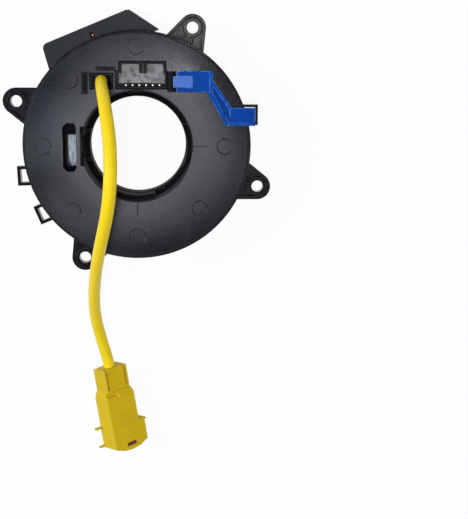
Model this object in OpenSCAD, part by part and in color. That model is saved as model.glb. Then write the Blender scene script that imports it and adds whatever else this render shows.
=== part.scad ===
// Steering clock spring: a fixed case with four ears, a rotor that turns with the wheel,
// a flat ribbon wound between them, a lock clip and an airbag lead with its plug.
// The bore axis is Z, the front (wheel side) faces +Z and the connector block is at +Y.
// The origin is on the bore axis, at the back face of the rear ring.

/* [Case] */
// Outer radius of the round case wall
case_r = 53; // [52.6:0.2:54]
// Thickness of the case wall
case_wall = 1.8; // [1.6:0.1:2]
// Radial gap between the case rim and the rear cover
cover_fit = 0.2; // [0.1:0.05:0.3]
// Width of the thin case rim that surrounds the rear cover
rim_wall = 1.1; // [0.9:0.1:1.3]

/* [Ears] */
// Distance between the ear holes along X
ear_span_x = 90; // [89:0.5:91]
// Distance between the ear holes along Y
ear_span_y = 81; // [80:0.5:82]
// Radius of the screw hole in each ear
ear_hole_r = 2.75; // [2.6:0.05:3]
// Radius of the round tip of an ear
ear_tip_r = 6.3; // [6:0.1:6.6]
// Half angle that the root of an ear takes on the case wall
ear_spread = 10.5; // [9:0.5:12]
// Height of the ear's back face above the back of the rear cover
ear_raise = 2; // [1.5:0.25:2.5]
// Thickness of the ear's floor
ear_floor = 1.8; // [1.5:0.1:2.2]
// Height of the rim, the boss and the ribs of an ear
ear_h = 5; // [4.5:0.25:5.5]
// Width of the ear's rim
ear_rim = 1.4; // [1.2:0.1:1.6]

/* [Rotor] */
// Step from the case's outer radius in to the edge of the rotor disc
rotor_step = 1; // [0.8:0.1:1.4]
// Radius of the opening in the rotor, seen from the front
bore_r = 25.6; // [25.5:0.1:25.8]
// Wall thickness of the rotor's hub
hub_wall = 2.3; // [2.2:0.1:2.5]
// Thickness of the rotor disc
disc_t = 2; // [1.8:0.1:2.4]
// How far the rotor disc falls away at its outer edge
disc_drop = 0.7; // [0.5:0.1:0.9]
// Angle of the rotor against the case when it is centred
rotor_set = -22.5; // [-23:0.5:-22]
// Gap between the rotor disc and the top of the case wall
turn_gap = 0.5; // [0.4:0.05:0.6]

/* [Rear ring] */
// Radius of the bore that the steering column passes through
column_r = 22.8; // [22.6:0.1:22.9]
// Outer radius of the rear ring's flange
ring_r = 29.4; // [29.2:0.1:29.6]
// Thickness of the flange
ring_t = 2.9; // [2.7:0.1:3.1]
// Length of the sleeve that reaches into the hub
sleeve_h = 7.1; // [6.5:0.1:7.5]

/* [Rear cover] */
// Distance from the back of the rear ring to the back of the rear cover
cover_raise = 2; // [1.8:0.1:2.2]
// Thickness of the rear cover
cover_t = 2.6; // [2.4:0.1:3]
// Depth of the shallow outer field of the cover
field_d = 0.9; // [0.6:0.1:1.1]
// Width of the shallow outer field
field_w = 7.9; // [7.6:0.1:8.2]
// Width of the dark groove at the inner edge of that field
groove_w = 1.3; // [1:0.1:1.5]
// Number of radial ribs across the outer field
cover_ribs = 8; // [4:1:12]

/* [Ribbon] */
// Height of the ribbon cavity
cavity_h = 10.8; // [10.4:0.1:11.2]
// Width of the flat ribbon
ribbon_w = 9.8; // [9.4:0.1:10]
// Thickness of the flat ribbon
ribbon_t = 0.25; // [0.2:0.05:0.3]
// Number of turns wound on the hub
turns_in = 8; // [5:1:8]
// Number of turns laid against the guide wall
turns_out = 5; // [3:1:5]

/* [Connector block] */
// Height of the block's front plate over the back of the rear cover
block_h = 13.5; // [13:0.25:14]
// How far the block stands out beyond the case wall
block_reach = 6.2; // [6:0.1:6.6]
// Thickness of the block's walls
block_wall = 1.5; // [1.3:0.1:1.6]
// How far the sockets stand out behind the rear cover
socket_out = 10; // [9:0.25:11]
// Pitch of the pins in the main socket
main_pitch = 4; // [3.8:0.1:4.1]
// Pitch of the pins in the small socket
small_pitch = 4.1; // [3.8:0.1:4.4]

/* [Lock clip] */
// Thickness of the clip's base
clip_t = 1.6; // [1.4:0.1:1.8]
// Height of the clip's main block
clip_h = 5.4; // [5:0.2:5.8]
// Gap between the clip and the face of the rotor
clip_gap = 0.3; // [0.3:0.05:0.4]

/* [Airbag lead] */
// Diameter of the yellow sleeve
lead_d = 5.6; // [5.4:0.1:5.8]
// Length of the plug
plug_l = 43.5; // [42:0.5:45]
// Width of the plug's body
plug_w = 16; // [15:0.5:17]
// Thickness of the plug's body
plug_t = 11; // [10.6:0.1:11.4]
// Roll of the plug about its own axis
plug_roll = -38; // [-42:1:-34]

/* [Hidden] */
$fn = 96;

// One overrun serves all cuts
cut = 0.5;
// Break of a moulded edge
edge = 0.4;
// Clearance of a piece that is pressed or dropped into a pocket
seat = 0.1;
// Number of sides where a curve is swept
sweep_sides = 10;
half_turn = 180;
full_turn = 360;

// Levels, from the back of the rear ring upwards
rim_step = 0.3;
guide_t = 1;
bay_h = 5.6;
plate_t = 1.5;
cover_top = cover_raise + cover_t;
guide_z = cover_top + cavity_h;
guide_top = guide_z + guide_t;
disc_z = guide_top + bay_h;
face_z = disc_z + disc_t;
case_top = disc_z - turn_gap;
rim_z = cover_raise - rim_step;
block_z = cover_top;
block_top = cover_raise + block_h;
mouth_z = cover_raise - socket_out;
ring_top = ring_t + sleeve_h;

// Radii of the walls between the bore and the case
lip_w = 1.4;
lip_t = 1.2;
hub_gap = 0.45;
wall_step = 0.6;
guide_wall_t = 1;
sleeve_gap = 0.2;
case_in = case_r - case_wall;
cover_seat_r = case_r - rim_wall;
cover_r = cover_seat_r - cover_fit;
field_r = cover_r - field_w;
rotor_r = case_r - rotor_step;
hub_r = bore_r + hub_wall;
guide_wall_in = field_r + wall_step;
sleeve_r = bore_r - sleeve_gap;

// Ring with a round bore
module tube(r_out, r_in, z, h) {
    translate([0, 0, z])
        difference() {
            cylinder(r = r_out, h = h);
            translate([0, 0, -cut]) cylinder(r = r_in, h = h + 2 * cut);
        }
}

// Box given by its lowest corner and its highest corner
module block(low, high) {
    translate(low) cube(high - low);
}

// Part of a ring between two angles, as the wide wedge that cuts it out
module wedge(r, from, to, z, h) {
    translate([0, 0, z])
        linear_extrude(h)
            polygon([
                [0, 0],
                r * [cos(from), sin(from)],
                r * [cos((from + to) / 2), sin((from + to) / 2)] / cos((to - from) / 4),
                r * [cos(to), sin(to)]
            ]);
}

// What turns with the wheel is drawn in the rotor's own frame
module on_rotor() {
    rotate([0, 0, rotor_set]) children();
}

// Ears: a floor, a rim, a boss and ribs, open towards the front
ear_boss_wall = 1.7;
ear_rib = 1.1;
ear_reach = norm([ear_span_x, ear_span_y]) / 2;
ear_root = case_r * [cos(ear_spread), sin(ear_spread)];
ear_flank = ear_root - [ear_reach, 0];
ear_lean = atan2(ear_flank[1], ear_flank[0]) - acos(ear_tip_r / norm(ear_flank));
ear_boss_r = ear_hole_r + ear_boss_wall;
ear_z = cover_raise + ear_raise;
ear_angle = atan2(ear_span_y, ear_span_x);
ear_angles = [ear_angle, half_turn - ear_angle, half_turn + ear_angle, full_turn - ear_angle];

module ear_plan(inset) {
    side = [cos(ear_lean), sin(ear_lean)];
    root = ear_root - inset * side;
    tip = [ear_reach, 0] + (ear_tip_r - inset) * side;
    translate([ear_reach, 0]) circle(r = ear_tip_r - inset);
    polygon([[root[0], -root[1]], [tip[0], -tip[1]], tip, root]);
}

module ear() {
    translate([0, 0, ear_z]) linear_extrude(ear_floor) ear_plan(0);
    translate([0, 0, ear_z])
        linear_extrude(ear_h)
            difference() {
                ear_plan(0);
                ear_plan(ear_rim);
            }
    translate([ear_reach, 0, ear_z]) cylinder(r = ear_boss_r, h = ear_h);
    block([case_r - case_wall / 2, -ear_rib / 2, ear_z],
          [ear_reach - ear_boss_r + ear_rib, ear_rib / 2, ear_z + ear_h]);
    for (side = [-1, 1])
        translate([ear_reach, 0, ear_z])
            rotate([0, 0, half_turn + side * 2 * ear_spread])
                block([ear_boss_r - ear_rib, -ear_rib / 2, 0],
                      [ear_reach - case_r, ear_rib / 2, ear_h - ear_rib]);
}

// Tie loops on the rim of the case, for the tape round the harness
loop_reach = 4.4;
loop_low = 8.2;
loop_high = 17.4;
loop_wall = 1.5;
loop_lift = 6;
loop_h = 5;
loop_turn = 20.5;
loop_out = case_r + loop_reach;
loop_root = (case_r - case_wall / 2) * cos(loop_turn);
loop_z = cover_raise + loop_lift;

module tie_loop() {
    difference() {
        block([-loop_out, -loop_high, loop_z], [-loop_root, -loop_low, loop_z + loop_h]);
        block([-loop_out + loop_wall, -loop_high + loop_wall, loop_z - cut],
              [-loop_root + cut, -loop_low - loop_wall, loop_z + loop_h + cut]);
    }
}

// Loop that the end of the lock clip stands over, in the rotor's frame when centred
catch_reach = 3.3;
catch_low = 9.8;
catch_high = 19.3;
catch_wall = 1.2;
catch_drop = 2;
catch_h = 8;
catch_x = case_r + catch_reach;
catch_root = case_r * cos(2 * ear_spread);
catch_top = disc_z - catch_drop;

module clip_catch() {
    on_rotor()
        difference() {
            block([catch_root, catch_low, catch_top - catch_h], [catch_x, catch_high, catch_top]);
            block([catch_root - cut, catch_low + catch_wall, catch_top - catch_h - cut],
                  [catch_x - catch_wall, catch_high - catch_wall, catch_top + cut]);
        }
}

// Connector block on the rim of the case
block_left = 24.1;
block_lean = 1.3;
block_corner = 2.6;
block_right = 21.6;
block_chamfer = [1.9, 1.4];
block_slant_x = 30.2;
block_slant_in = 7.6;
block_root_in = 6.6;
block_y = case_r + block_reach;
block_slant_y = case_r - block_slant_in;
block_root_y = case_r - block_root_in;
block_round = [-block_left + block_lean + block_corner, block_y - block_corner];

module block_plan() {
    polygon(concat(
        [[-block_left, block_root_y]],
        [for (a = [180 : -22.5 : 90]) block_round + block_corner * [cos(a), sin(a)]],
        [
            [block_right - block_chamfer[0], block_y],
            [block_right, block_y - block_chamfer[1]],
            [block_slant_x, block_slant_y],
            [0, block_slant_y]
        ]
    ));
}

// Sockets: lowest and highest corner of the outside, mouth at the back
socket_floor = 1.2;
socket_wall = 1.4;
socket_in = 4.1;
main_x = [-8.2, 20.8];
small_x = [-23, -10.2];
main_over = 6.6;
small_over = 6.4;
key_w = 13;
key_d = 2.6;
key_slot = 3.4;
small_corner = 2.6;
main_low = [main_x[0], case_r - socket_in];
main_high = [main_x[1], case_r + main_over];
small_low = [small_x[0], case_r - socket_in];
small_high = [small_x[1], case_r + small_over];
cover_cut_y = main_low[1] - cover_fit;
well_z = cover_top - socket_floor;

module socket_shell(low, high) {
    block([low[0], low[1], mouth_z], [high[0], high[1], well_z + socket_floor]);
}

module socket_well(low, high) {
    block([low[0] + socket_wall, low[1] + socket_wall, mouth_z - cut],
          [high[0] - socket_wall, high[1] - socket_wall, well_z]);
}

module main_key() {
    middle = (main_low[0] + main_high[0]) / 2;
    block([middle - key_w / 2, main_high[1] - socket_wall - key_d, mouth_z],
          [middle + key_w / 2, main_high[1] - cut, well_z + cut]);
}

module main_key_cuts() {
    middle = (main_low[0] + main_high[0]) / 2;
    for (side = [-1, 1]) {
        translate([middle + side * (key_w + key_slot) / 2, main_high[1], mouth_z])
            block([-key_slot / 2, -socket_wall - cut, -cut], [key_slot / 2, cut, socket_out / 2]);
        translate([middle + side * key_w / 4, main_high[1] - socket_wall - key_d / 2, mouth_z])
            block([-key_w / 4 + socket_wall / 2, -key_d / 2 - cut, -cut],
                  [key_w / 4 - socket_wall / 2, key_d / 3, socket_out / 2]);
    }
}

module small_corners() {
    for (x = [small_low[0], small_high[0]])
        translate([x, small_high[1], mouth_z - cut])
            rotate([0, 0, 45])
                block([-small_corner / sqrt(2), -small_corner / sqrt(2), 0],
                      [small_corner / sqrt(2), small_corner / sqrt(2), socket_out]);
}

tail_slot_w = 12;
tail_slot_x = -4.5;

module case_wall_ring() {
    rotate_extrude()
        polygon([
            [cover_seat_r, rim_z],
            [case_r, rim_z],
            [case_r, case_top - edge],
            [case_r - edge, case_top],
            [case_in - lip_w, case_top],
            [case_in - lip_w, case_top - lip_t],
            [case_in, case_top - lip_t],
            [case_in, cover_top],
            [cover_seat_r, cover_top]
        ]);
}

latch_w = 7;
latch_d = 2.2;

module case() {
    color("#1b1c1f")
        difference() {
            union() {
                case_wall_ring();
                for (a = ear_angles) rotate([0, 0, a]) ear();
                difference() {
                    union() {
                        for (a = [0, -loop_turn]) rotate([0, 0, a]) tie_loop();
                        clip_catch();
                    }
                    cylinder(r = case_in, h = face_z);
                }
                difference() {
                    translate([0, 0, block_z]) linear_extrude(block_top - block_z) block_plan();
                    translate([0, 0, block_z + block_wall])
                        linear_extrude(block_top)
                            offset(delta = -block_wall) block_plan();
                    translate([0, 0, block_z - cut]) cylinder(r = case_in, h = face_z);
                }
                socket_shell(main_low, main_high);
                socket_shell(small_low, small_high);
            }
            for (a = ear_angles)
                rotate([0, 0, a])
                    translate([ear_reach, 0, ear_z - cut]) cylinder(r = ear_hole_r, h = ear_h + 2 * cut);
            difference() {
                socket_well(main_low, main_high);
                main_key();
            }
            main_key_cuts();
            socket_well(small_low, small_high);
            small_corners();
            // Slot that the ribbon's outer end passes through
            block([tail_slot_x - tail_slot_w / 2, case_in - case_wall, cover_top],
                  [tail_slot_x + tail_slot_w / 2, case_r + edge, block_top]);
            // Notch in the rim for the rear cover's latch
            block([-latch_w / 2, -case_r - cut, rim_z - cut], [latch_w / 2, -cover_r, rim_z + latch_d]);
        }
}

// Rear cover: a ribbed outer field, a groove and a flat middle, with the wall that guides the ribbon
mark_r = 3.3;
mark_d = 0.25;
mark_gap = 0.9;
marks = 8;
rib_w = 1.4;
groove_d = 1.7;
ring_gap = 0.4;
ring_float = 0.3;
wall_drop = 0.2;
tongue_slit = 0.8;
tongue_l = 5;
mark_ring_r = field_r - groove_w - mark_gap - mark_r;
cover_bore_r = hub_r + hub_gap;
ring_room_r = ring_r + ring_gap;
ring_room_z = ring_t + ring_float;
guide_wall_top = guide_top - wall_drop;

module cover_profile() {
    polygon([
        [cover_bore_r, ring_room_z],
        [ring_room_r, ring_room_z],
        [ring_room_r, cover_raise],
        [field_r - groove_w, cover_raise],
        [field_r - groove_w, cover_raise + groove_d],
        [field_r, cover_raise + groove_d],
        [field_r, cover_raise + field_d],
        [cover_r - edge, cover_raise + field_d],
        [cover_r - edge, cover_raise],
        [cover_r, cover_raise],
        [cover_r, cover_top],
        [guide_wall_in + guide_wall_t, cover_top],
        [guide_wall_in + guide_wall_t, guide_wall_top],
        [guide_wall_in, guide_wall_top],
        [guide_wall_in, cover_top],
        [cover_bore_r, cover_top]
    ]);
}

module rear_cover() {
    color("#2b2d33")
        difference() {
            union() {
                rotate_extrude() cover_profile();
                for (i = [0 : cover_ribs - 1])
                    rotate([0, 0, i * full_turn / cover_ribs])
                        block([field_r - groove_w - edge, -rib_w / 2, cover_raise],
                              [cover_r - edge, rib_w / 2, cover_raise + groove_d + edge / 2]);
            }
            // The cover stops short of the sockets
            block([-block_slant_x, cover_cut_y, 0], [block_slant_x, case_r, cover_top + cut]);
            for (i = [0 : marks - 1])
                rotate([0, 0, i * full_turn / marks])
                    translate([mark_ring_r, 0, cover_raise - cut]) cylinder(r = mark_r, h = cut + mark_d);
            // Slits that free the latch tongue
            for (side = [-1, 1])
                translate([side * (latch_w - tongue_slit) / 2, 0, 0])
                    block([-tongue_slit / 2, -case_r, 0],
                          [tongue_slit / 2, -cover_r + tongue_l, cover_top + cut]);
            // Slot in the guide wall for the ribbon's outer end
            block([tail_slot_x - tail_slot_w / 2, guide_wall_in - guide_wall_t, cover_top],
                  [tail_slot_x + tail_slot_w / 3, cover_r, guide_wall_top + cut]);
        }
}

// Front plate of the connector block
peep_r = 1.3;
peep_x = 0.9;
peep_out = 1.7;
peep_y = case_r + peep_out;

module block_cover() {
    color("#17181a")
        difference() {
            translate([0, 0, block_top]) linear_extrude(plate_t) block_plan();
            translate([0, 0, block_top - cut]) cylinder(r = case_r + seat, h = plate_t + 2 * cut);
            translate([peep_x, peep_y, block_top - cut]) cylinder(r = peep_r, h = plate_t + 2 * cut);
        }
}

// Moulded block that holds the case-side terminals over the sockets
holder_t = 2.2;
pin_w = 0.8;
main_pins = 6;
small_pins = 2;
pin_in = 6.05;
pin_tip = 4;
holder_z = block_z + block_wall;
holder_top = holder_z + holder_t;
pin_y = main_low[1] + pin_in;
main_mid = (main_low[0] + main_high[0]) / 2;
small_mid = (small_low[0] + small_high[0]) / 2;

module pin_row(count, pitch, middle, tip, top) {
    for (i = [0 : count - 1])
        translate([middle + (i - (count - 1) / 2) * pitch, pin_y, 0])
            block([-pin_w / 2, -pin_w / 2, tip], [pin_w / 2, pin_w / 2, top]);
}

module case_terminal_block() {
    color("#3a3c40")
        difference() {
            block([small_low[0] + 2 * block_wall, case_r + edge, holder_z],
                  [main_high[0] - 2 * socket_wall, block_y - block_wall - seat, holder_top]);
            pin_row(main_pins, main_pitch, main_mid, holder_z - cut, holder_top + cut);
            pin_row(small_pins, small_pitch, small_mid, holder_z - cut, holder_top + cut);
        }
}

module main_socket_pins() {
    color("#c9c2a6") pin_row(main_pins, main_pitch, main_mid, mouth_z + pin_tip, holder_top);
}

module small_socket_pins() {
    color("#c9c2a6") pin_row(small_pins, small_pitch, small_mid, mouth_z + pin_tip, holder_top);
}

// Low friction sheets either side of the ribbon
sheet_t = 0.25;
sheet_gap = 0.2;

module rear_slip_sheet() {
    color("#8d9094") tube(guide_wall_in - sheet_gap, cover_bore_r + sheet_gap, cover_top, sheet_t);
}

module front_slip_sheet() {
    color("#8d9094")
        on_rotor()
            difference() {
                tube(guide_wall_in - hub_gap, hub_r + sheet_gap, guide_z - sheet_t, sheet_t);
                guide_window(guide_z - sheet_t - cut, guide_z + cut);
            }
}

// Ribbon: turns on the hub, one long crossing, turns against the guide wall, then out to the block
turn_pitch = 0.42;
ribbon_start = 1.1;
ribbon_stop = 0.6;
ribbon_steps = 40;
ribbon_end_angle = 84;
crossing_share = 0.8;
ribbon_in_r = hub_r + ribbon_start;
ribbon_out_r = guide_wall_in - ribbon_stop - turns_out * turn_pitch;
ribbon_mid_r = ribbon_in_r + turns_in * turn_pitch;
crossing_end = turns_in + crossing_share;
ribbon_end = crossing_end + turns_out;

// Places of the outer end: share of the slot's place along X, share of the way from guide wall to case
ribbon_tail_share = [[0.13, -0.075], [0.71, 0.1], [0.98, 0.44], [1.02, 0.82]];
ribbon_tail = concat(
    [for (s = ribbon_tail_share) [tail_slot_x * s[0], guide_wall_in + (case_in - guide_wall_in) * s[1]]],
    [[tail_slot_x * ribbon_tail_share[3][0], case_r + edge]]
);

function unit(v) = v / norm(v);
function ease(t) = t * t * (3 - 2 * t);
function ribbon_r(turn) =
    turn < turns_in ? ribbon_in_r + turn * turn_pitch
    : turn < crossing_end
        ? ribbon_mid_r + (ribbon_out_r - ribbon_mid_r) * ease((turn - turns_in) / crossing_share)
    : ribbon_out_r + (turn - crossing_end) * turn_pitch;
function ribbon_point(i, side) =
    let (turn = i / ribbon_steps,
         r = ribbon_r(turn) + side * ribbon_t / 2,
         a = ribbon_end_angle + (turn - ribbon_end) * full_turn)
    r * [cos(a), sin(a)];
function tail_point(i, side) =
    let (last = len(ribbon_tail) - 1,
         way = unit(ribbon_tail[min(i + 1, last)] - ribbon_tail[max(i - 1, 0)]))
    ribbon_tail[i] + side * ribbon_t / 2 * [way[1], -way[0]];

module ribbon_cable() {
    last = round(ribbon_end * ribbon_steps);
    tail = len(ribbon_tail) - 1;
    color("#dfe3ea")
        translate([0, 0, cover_top + sheet_t])
            linear_extrude(ribbon_w)
                polygon(concat(
                    [for (i = [0 : last]) ribbon_point(i, -1)],
                    [for (i = [0 : tail]) tail_point(i, -1)],
                    [for (i = [tail : -1 : 0]) tail_point(i, 1)],
                    [for (i = [last : -1 : 0]) ribbon_point(i, 1)]
                ));
}

// Rotor: disc and hub in one, with bays for the socket and the lead
slope_w = 12;
slope_r = rotor_r - slope_w;
hub_low = ring_t;

// Window that shows the ribbon, and the smaller one in the plate under it
window_step = 0.2;
window_w = 6.1;
window_y = [-11.6, 10.6];
window_corner = 1.8;
guide_window_in = 0.8;
guide_window_y = [-9.6, 5];
window_high_x = -hub_r - window_step;
window_low_x = window_high_x - window_w;

module window_cut(z, top) {
    translate([0, 0, z])
        linear_extrude(top - z)
            polygon([
                [window_low_x + window_corner, window_y[0]],
                [window_high_x - window_corner / 2, window_y[0]],
                [window_high_x, window_y[0] + window_corner],
                [window_high_x, window_y[1] - window_corner],
                [window_high_x - window_corner / 2, window_y[1]],
                [window_low_x + window_corner, window_y[1]],
                [window_low_x, window_y[1] - window_corner],
                [window_low_x, window_y[0] + window_corner]
            ]);
}

module guide_window(z, top) {
    block([window_low_x + guide_window_in, guide_window_y[0], z],
          [window_high_x - guide_window_in / 2, guide_window_y[1], top]);
}

// The socket's bay is stepped: wide next to the bore, narrower behind
bay_step = 0.6;
bay_low = bore_r + bay_step;
socket_x = [-9.6, 14.3];
socket_step_x = [-8.1, 13.7];
socket_deep = 8.5;
socket_reach = 12.8;
socket_y = bay_low + socket_deep;
socket_top_y = bay_low + socket_reach;
lead_x = [-21.4, -10.6];
lead_deep = 7.4;
lead_top_y = bay_low + lead_deep;

module socket_plan(grow) {
    polygon([
        [socket_x[0] - grow, bay_low - grow],
        [socket_x[1] + grow, bay_low - grow],
        [socket_x[1] + grow, socket_y + grow],
        [socket_step_x[1] + grow, socket_y + grow],
        [socket_step_x[1] + grow, socket_top_y + grow],
        [socket_step_x[0] - grow, socket_top_y + grow],
        [socket_step_x[0] - grow, socket_y + grow],
        [socket_x[0] - grow, socket_y + grow]
    ]);
}

module rotor_profile() {
    polygon([
        [bore_r, hub_low],
        [hub_r, hub_low],
        [hub_r, disc_z],
        [rotor_r, disc_z],
        [rotor_r, face_z - disc_drop - edge],
        [rotor_r - edge, face_z - disc_drop],
        [slope_r, face_z],
        [bore_r + edge, face_z],
        [bore_r, face_z - edge]
    ]);
}

// Posts beside the bays, with their places along Y measured from the bays' lower side
retainer_x = [14.9, 16.6];
retainer_reach = [-0.8, 8];
retainer_h = 3.2;
bracket_x = [-25, -22.4];
bracket_reach = [-1.8, 7.7];
bracket_h = 1.6;
bracket_wall = 1;
bar_x = [-18.3, -9.8];
bar_reach = [8.5, 10.1];
bar_h = 1.2;

module posts() {
    block([retainer_x[0], bay_low + retainer_reach[0], disc_z],
          [retainer_x[1], bay_low + retainer_reach[1], face_z + retainer_h]);
    difference() {
        block([bracket_x[0], bay_low + bracket_reach[0], disc_z],
              [bracket_x[1], bay_low + bracket_reach[1], face_z + bracket_h]);
        block([bracket_x[0] + bracket_wall, bay_low + bracket_reach[0] + bracket_wall, face_z],
              [bracket_x[1] + cut, bay_low + bracket_reach[1] - bracket_wall, face_z + bracket_h + cut]);
    }
    block([bar_x[0], bay_low + bar_reach[0], disc_z], [bar_x[1], bay_low + bar_reach[1], face_z + bar_h]);
}

// Pocket for the lock peg of the clip
peg_x = [26, 31];
peg_y = [28, 32];
peg_l = 4.6;
peg_gap = 0.35;

// Two hooks on the inside of the hub, over the sleeve of the rear ring
hook_y = 6.8;
hook_w = 2;
hook_arm = 1.2;
hook_clear = 0.2;
hook_lift = 8.8;
hook_h = 2.4;
hook_sink = 1;
hook_z = cover_raise + hook_lift;
hook_reach = sqrt(pow(column_r - hook_clear, 2) - pow(hook_y - hook_w / 2, 2));

module hooks() {
    for (side = [-1, 1]) {
        block([-bore_r - hook_arm / 2, side * hook_y - hook_w / 2, hook_z],
              [-bore_r + hook_arm, side * hook_y + hook_w / 2, disc_z - hook_sink]);
        block([-bore_r, side * hook_y - hook_w / 2, hook_z],
              [-hook_reach, side * hook_y + hook_w / 2, hook_z + hook_h]);
    }
}

// Flats at the left of the bore: one in the hub for the centring key, a wider one in the face
flat_step = 0.6;
flat_half = 5.4;
face_flat_step = 0.6;
face_flat_half = 9;

// Ejector marks on the face, one every eighth of a turn, each with its own step out from the ring of marks
face_mark_r = 3.7;
face_mark_in = 10;
face_mark_d = 0.2;
face_mark_step = [-1.2, -1.2, 3.6, 0.7, 1.2, 0.6, 0.2, -0.8];
line_w = 0.25;
line_l = 7;
line_d = 0.2;
face_mark_ring_r = rotor_r - face_mark_in;
face_mark_z = face_z - disc_drop / 6 - face_mark_d;

module rotor() {
    color("#3b3c40")
        on_rotor()
            difference() {
                union() {
                    rotate_extrude() rotor_profile();
                    // Walls of the bays that hang under the disc
                    translate([0, 0, guide_top])
                        linear_extrude(disc_z - guide_top + edge) socket_plan(block_wall);
                    block([lead_x[0] - block_wall, bay_low - block_wall, guide_top],
                          [lead_x[1] + block_wall, lead_top_y + block_wall, disc_z + edge]);
                    posts();
                    hooks();
                }
                translate([0, 0, guide_top - cut])
                    linear_extrude(face_z) socket_plan(0);
                block([lead_x[0], bay_low, guide_top - cut], [lead_x[1], lead_top_y, face_z + cut]);
                window_cut(disc_z - cut, face_z + cut);
                block([-bore_r - flat_step, -flat_half, ring_top + edge],
                      [-bore_r + hook_arm, flat_half, face_z + cut]);
                block([-bore_r - face_flat_step, -face_flat_half, disc_z + edge],
                      [-bore_r + hub_wall, face_flat_half, face_z + cut]);
                for (i = [0 : marks - 1])
                    rotate([0, 0, i * full_turn / marks])
                        translate([face_mark_ring_r + face_mark_step[i], 0, face_mark_z])
                            tube(face_mark_r, face_mark_r - line_w, 0, cut);
                for (a = [0, -90])
                    rotate([0, 0, a])
                        block([bore_r - cut, -line_w / 2, face_z - line_d],
                              [bore_r + line_l, line_w / 2, face_z + cut]);
                block([peg_x[0] - peg_gap, peg_y[0] - peg_gap, disc_z - cut],
                      [peg_x[1] + peg_gap, peg_y[1] + peg_gap, face_z + cut]);
            }
}

// Plate under the rotor that keeps the ribbon in its cavity
module ribbon_guide() {
    color("#222327")
        on_rotor()
            difference() {
                tube(guide_wall_in - hub_gap, hub_r + seat, guide_z, guide_t);
                guide_window(guide_z - cut, guide_top + cut);
            }
}

// Rear ring: flange behind the cover, sleeve inside the hub
shelf_h = 9;
shelf_step = 0.4;
shelf_angles = [[-25, 25], [-115, -70]];
notch_angles = [-66, -61];
notch_w = 0.9;
notch_d = 2;

module rear_ring() {
    color("#3c3d42")
        on_rotor()
            difference() {
                union() {
                    rotate_extrude()
                        polygon([
                            [column_r, 0],
                            [ring_r - 2 * edge, 0],
                            [ring_r, 2 * edge],
                            [ring_r, ring_t],
                            [sleeve_r, ring_t],
                            [sleeve_r, ring_top],
                            [column_r, ring_top]
                        ]);
                    for (a = shelf_angles)
                        intersection() {
                            tube(sleeve_r, column_r + shelf_step, ring_top - cut, shelf_h + cut);
                            wedge(2 * sleeve_r, a[0], a[1], ring_top - cut, shelf_h + cut);
                        }
                }
                for (a = notch_angles)
                    rotate([0, 0, a])
                        block([column_r - cut, -notch_w / 2, ring_top - notch_d],
                              [sleeve_r + cut, notch_w / 2, face_z]);
            }
}

// Terminal block between the ribbon guide and the rotor socket
rotor_pin_n = 6;
rotor_pitch = 3.1;
rotor_pin_x = 2.85;
rotor_pin_in = 1.9;
rotor_pin_w = 0.7;
pin_sink = 2;
term_t = 1.6;
insert_gap = 0.3;
insert_wall = 1;
insert_floor = 2.4;
insert_rise = 1;
term_z = guide_top;
insert_z = term_z + term_t;
insert_top = face_z + insert_rise;
rotor_pin_y = bay_low + rotor_pin_in;

module rotor_pin(i, z, top) {
    translate([rotor_pin_x + (i - (rotor_pin_n - 1) / 2) * rotor_pitch, rotor_pin_y, 0])
        block([-rotor_pin_w / 2, -rotor_pin_w / 2, z], [rotor_pin_w / 2, rotor_pin_w / 2, top]);
}

module rotor_terminal_block() {
    color("#3a3c40")
        on_rotor()
            difference() {
                translate([0, 0, term_z]) linear_extrude(term_t) socket_plan(-seat);
                for (i = [0 : rotor_pin_n - 1]) rotor_pin(i, term_z - cut, insert_z + cut);
            }
}

module rotor_pins() {
    color("#c9c2a6")
        on_rotor()
            for (i = [0 : rotor_pin_n - 1]) rotor_pin(i, term_z, insert_top - pin_sink);
}

// Socket of the rotor: a stepped box with a split key and a trough round the pins
rotor_key_x = [1.3, 4.7];
rotor_key_in = 7.3;
key_split = 0.5;
key_sink = 1;
trough_d = 1.8;
trough_end = 0.9;
trough_half = 0.9;
rotor_key_y = bay_low + rotor_key_in;
trough_x = (rotor_pin_n - 1) / 2 * rotor_pitch + trough_end;

module rotor_socket() {
    key_mid = (rotor_key_x[0] + rotor_key_x[1]) / 2;
    key_back = socket_top_y - insert_gap - insert_wall / 2;
    color("#1d1e21")
        on_rotor()
            difference() {
                union() {
                    difference() {
                        translate([0, 0, insert_z])
                            linear_extrude(insert_top - insert_z) socket_plan(-insert_gap);
                        translate([0, 0, insert_z + insert_floor])
                            linear_extrude(insert_top) socket_plan(-insert_gap - insert_wall);
                    }
                    block([rotor_key_x[0], rotor_key_y, insert_z],
                          [rotor_key_x[1], key_back, insert_top - key_sink]);
                }
                block([key_mid - key_split / 2, rotor_key_y - cut, insert_z + insert_floor],
                      [key_mid + key_split / 2, key_back - insert_wall / 2, insert_top]);
                translate([rotor_pin_x, rotor_pin_y, insert_z + insert_floor])
                    block([-trough_x, -trough_half / 2, -trough_d], [trough_x, trough_half, cut]);
                for (i = [0 : rotor_pin_n - 1]) rotor_pin(i, insert_z - cut, insert_z + insert_floor + cut);
            }
}

// Holder that carries the lead in its bay
gland_h = 3;
gland_wall = 0.8;
gland_notch = 4;
holder_rise = 1;
lead_at = [-15.8, 30.1];
gland_z = term_z + gland_h;

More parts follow.
